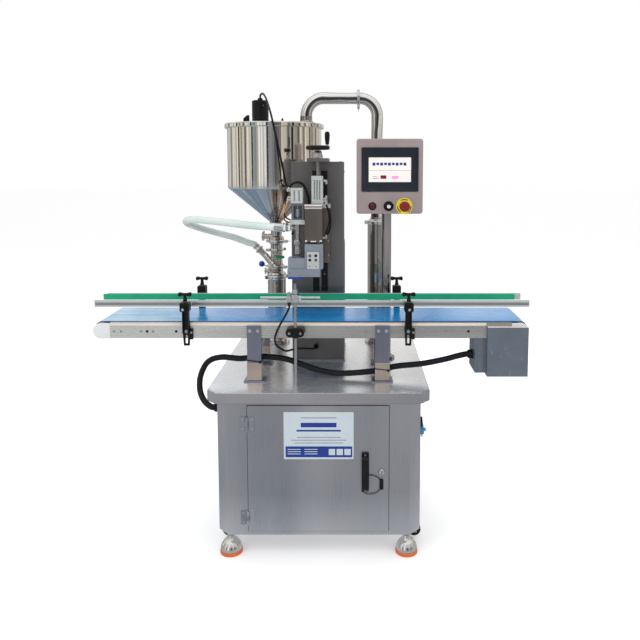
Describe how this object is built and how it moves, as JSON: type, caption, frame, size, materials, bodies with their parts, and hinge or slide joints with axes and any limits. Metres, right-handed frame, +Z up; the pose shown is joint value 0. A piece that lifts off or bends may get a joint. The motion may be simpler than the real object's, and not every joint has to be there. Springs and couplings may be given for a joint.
{
  "type": "piston liquid filler",
  "caption": "Piston liquid filler: polished hopper, metering cylinder, shut-off nozzle, operator panel and belt conveyor on a stainless cabinet.",
  "frame": {"origin": "on the floor under the middle of the machine's outline", "axes": "+Z up, +X along the belt's travel, the operator stands at -Y"},
  "size_m": [1.594, 0.8788, 1.695],
  "materials": {
    "brushed_steel": "satin brushed stainless sheet",
    "polished_steel": "mirror-polished sanitary stainless",
    "aluminium": "clear anodised",
    "panel_paint": "warm grey powder coat",
    "cover_paint": "blue-grey paint",
    "black_plastic": "black nylon and rubber",
    "belt_blue": "smooth blue PVC belt",
    "guide_green": "green low-friction plastic",
    "foot_orange": "orange rubber base under a plated foot",
    "hose_clear": "clear silicone tube",
    "stop_red": "red mushroom head",
    "lever_green": "green grip"
  },
  "bodies": {
    "machine": {"cabinet_shell": "brushed_steel", "door_hinge_upper": "brushed_steel", "door_hinge_lower": "brushed_steel", "table_top": "brushed_steel", "side_rail_front": "brushed_steel", "side_rail_rear": "brushed_steel", "slider_bed": "brushed_steel", "conveyor_stand_left": "brushed_steel", "conveyor_stand_right": "brushed_steel", "column_case": "brushed_steel", "panel_post": "brushed_steel", "hopper": "polished_steel", "hopper_lid": "polished_steel", "valve_body": "polished_steel", "metering_cylinder": "polished_steel", "feed_pipe": "polished_steel", "sensor_stand": "polished_steel", "gearmotor": "aluminium", "gearmotor_cover": "cover_paint", "guide_bracket_front_left": "black_plastic", "guide_bracket_front_right": "black_plastic", "guide_bracket_rear_left": "black_plastic", "guide_bracket_rear_right": "black_plastic", "motor_conduit": "black_plastic", "level_sensor": "black_plastic", "sensor_cable": "black_plastic", "level_sensor_cable": "black_plastic", "conveyor_belt": "belt_blue", "leveling_foot_front_left": "foot_orange", "leveling_foot_front_right": "foot_orange", "leveling_foot_rear_left": "foot_orange", "leveling_foot_rear_right": "foot_orange", "product_hose": "hose_clear"},
    "door": {"cabinet_door": "brushed_steel", "door_handle": "black_plastic"},
    "lock": {"door_lock": "polished_steel"},
    "drive_roller": {"drive_roller": "brushed_steel"},
    "idle_roller": {"idle_roller": "brushed_steel"},
    "front_guide": {"guide_rail_front": "brushed_steel"},
    "rear_guide": {"guide_rail_rear": "brushed_steel", "guide_strip": "guide_green"},
    "knob_front_left": {"guide_knob_front_left": "black_plastic"},
    "knob_front_right": {"guide_knob_front_right": "black_plastic"},
    "knob_rear_left": {"guide_knob_rear_left": "black_plastic"},
    "knob_rear_right": {"guide_knob_rear_right": "black_plastic"},
    "carriage": {"lift_carriage": "aluminium", "head_cover": "brushed_steel", "lift_cylinder": "aluminium", "shutoff_cylinder": "aluminium", "nozzle_body": "polished_steel"},
    "locator": {"neck_locator": "aluminium"},
    "needle": {"nozzle_needle": "polished_steel"},
    "handwheel": {"handwheel": "black_plastic", "lift_screw": "brushed_steel"},
    "grip": {"handwheel_grip": "black_plastic"},
    "piston": {"metering_piston": "polished_steel"},
    "valve_lever": {"valve_lever": "lever_green"},
    "panel": {"operator_panel": "panel_paint"},
    "stop_button": {"stop_button": "stop_red"},
    "selector": {"selector_switch": "black_plastic"}
  },
  "joints": [
    {"name": "door_swing", "type": "hinge", "parent": "machine", "child": "door", "pos_m": [-0.2153, -0.4145, 0.3275], "axis": [0, 0, -1], "range_deg": [0, 110]},
    {"name": "lock_turn", "type": "hinge", "parent": "door", "child": "lock", "pos_m": [0.249, -0.4085, 0.318], "axis": [0, -1, 0], "range_deg": [0, 90]},
    {"name": "drive_roller_spin", "type": "hinge", "parent": "machine", "child": "drive_roller", "pos_m": [0.745, -0.179, 0.7942], "axis": [0, 1, 0], "continuous": true},
    {"name": "idle_roller_spin", "type": "hinge", "parent": "machine", "child": "idle_roller", "pos_m": [-0.745, -0.179, 0.7942], "axis": [0, 1, 0], "continuous": true},
    {"name": "front_guide_width", "type": "slide", "parent": "machine", "child": "front_guide", "axis": [0, 1, 0], "range_m": [-0.02, 0.03]},
    {"name": "rear_guide_width", "type": "slide", "parent": "machine", "child": "rear_guide", "axis": [0, 1, 0], "range_m": [-0.03, 0.02]},
    {"name": "knob_front_left_turn", "type": "hinge", "parent": "machine", "child": "knob_front_left", "pos_m": [-0.442, -0.314, 0.895], "axis": [0, 0, 1], "range_deg": [0, 180]},
    {"name": "knob_front_right_turn", "type": "hinge", "parent": "machine", "child": "knob_front_right", "pos_m": [0.346, -0.314, 0.895], "axis": [0, 0, 1], "range_deg": [0, 180]},
    {"name": "knob_rear_left_turn", "type": "hinge", "parent": "machine", "child": "knob_rear_left", "pos_m": [-0.445, -0.044, 0.905], "axis": [0, 0, 1], "range_deg": [0, 180]},
    {"name": "knob_rear_right_turn", "type": "hinge", "parent": "machine", "child": "knob_rear_right", "pos_m": [0.32, -0.044, 0.905], "axis": [0, 0, 1], "range_deg": [0, 180]},
    {"name": "head_height", "type": "slide", "parent": "machine", "child": "carriage", "axis": [0, 0, 1], "range_m": [-0.035, 0.045], "deforming": ["product_hose"]},
    {"name": "handwheel_turn", "type": "hinge", "parent": "machine", "child": "handwheel", "pos_m": [0.018, -0.131, 1.44], "axis": [0, 0, -1], "range_deg": [-1260, 1620]},
    {"name": "grip_spin", "type": "hinge", "parent": "handwheel", "child": "grip", "pos_m": [0.053, -0.131, 1.475], "axis": [0, 0, 1], "continuous": true},
    {"name": "locator_drop", "type": "slide", "parent": "carriage", "child": "locator", "axis": [0, 0, -1], "range_m": [0, 0.028]},
    {"name": "needle_lift", "type": "slide", "parent": "carriage", "child": "needle", "axis": [0, 0, 1], "range_m": [0, 0.01]},
    {"name": "piston_stroke", "type": "slide", "parent": "machine", "child": "piston", "axis": [0, 0, 1], "range_m": [0, 0.18]},
    {"name": "valve_turn", "type": "hinge", "parent": "machine", "child": "valve_lever", "pos_m": [-0.185, 0.185, 0.985], "axis": [0, -1, 0], "range_deg": [0, 90]},
    {"name": "panel_swivel", "type": "hinge", "parent": "machine", "child": "panel", "pos_m": [0.28, -0.008, 1.3], "axis": [0, 0, 1], "range_deg": [-45, 45]},
    {"name": "stop_push", "type": "slide", "parent": "panel", "child": "stop_button", "axis": [0, 1, 0], "range_m": [0, 0.005], "stiffness_N_per_m": 900},
    {"name": "selector_turn", "type": "hinge", "parent": "panel", "child": "selector", "pos_m": [0.283, -0.118, 1.221], "axis": [0, 1, 0], "range_deg": [-45, 45]}
  ],
  "couplings": [
    {"joint": "idle_roller_spin", "follows": "drive_roller_spin", "ratio": 1},
    {"joint": "handwheel_turn", "follows": "head_height", "rad_per_m": 628.32}
  ]
}
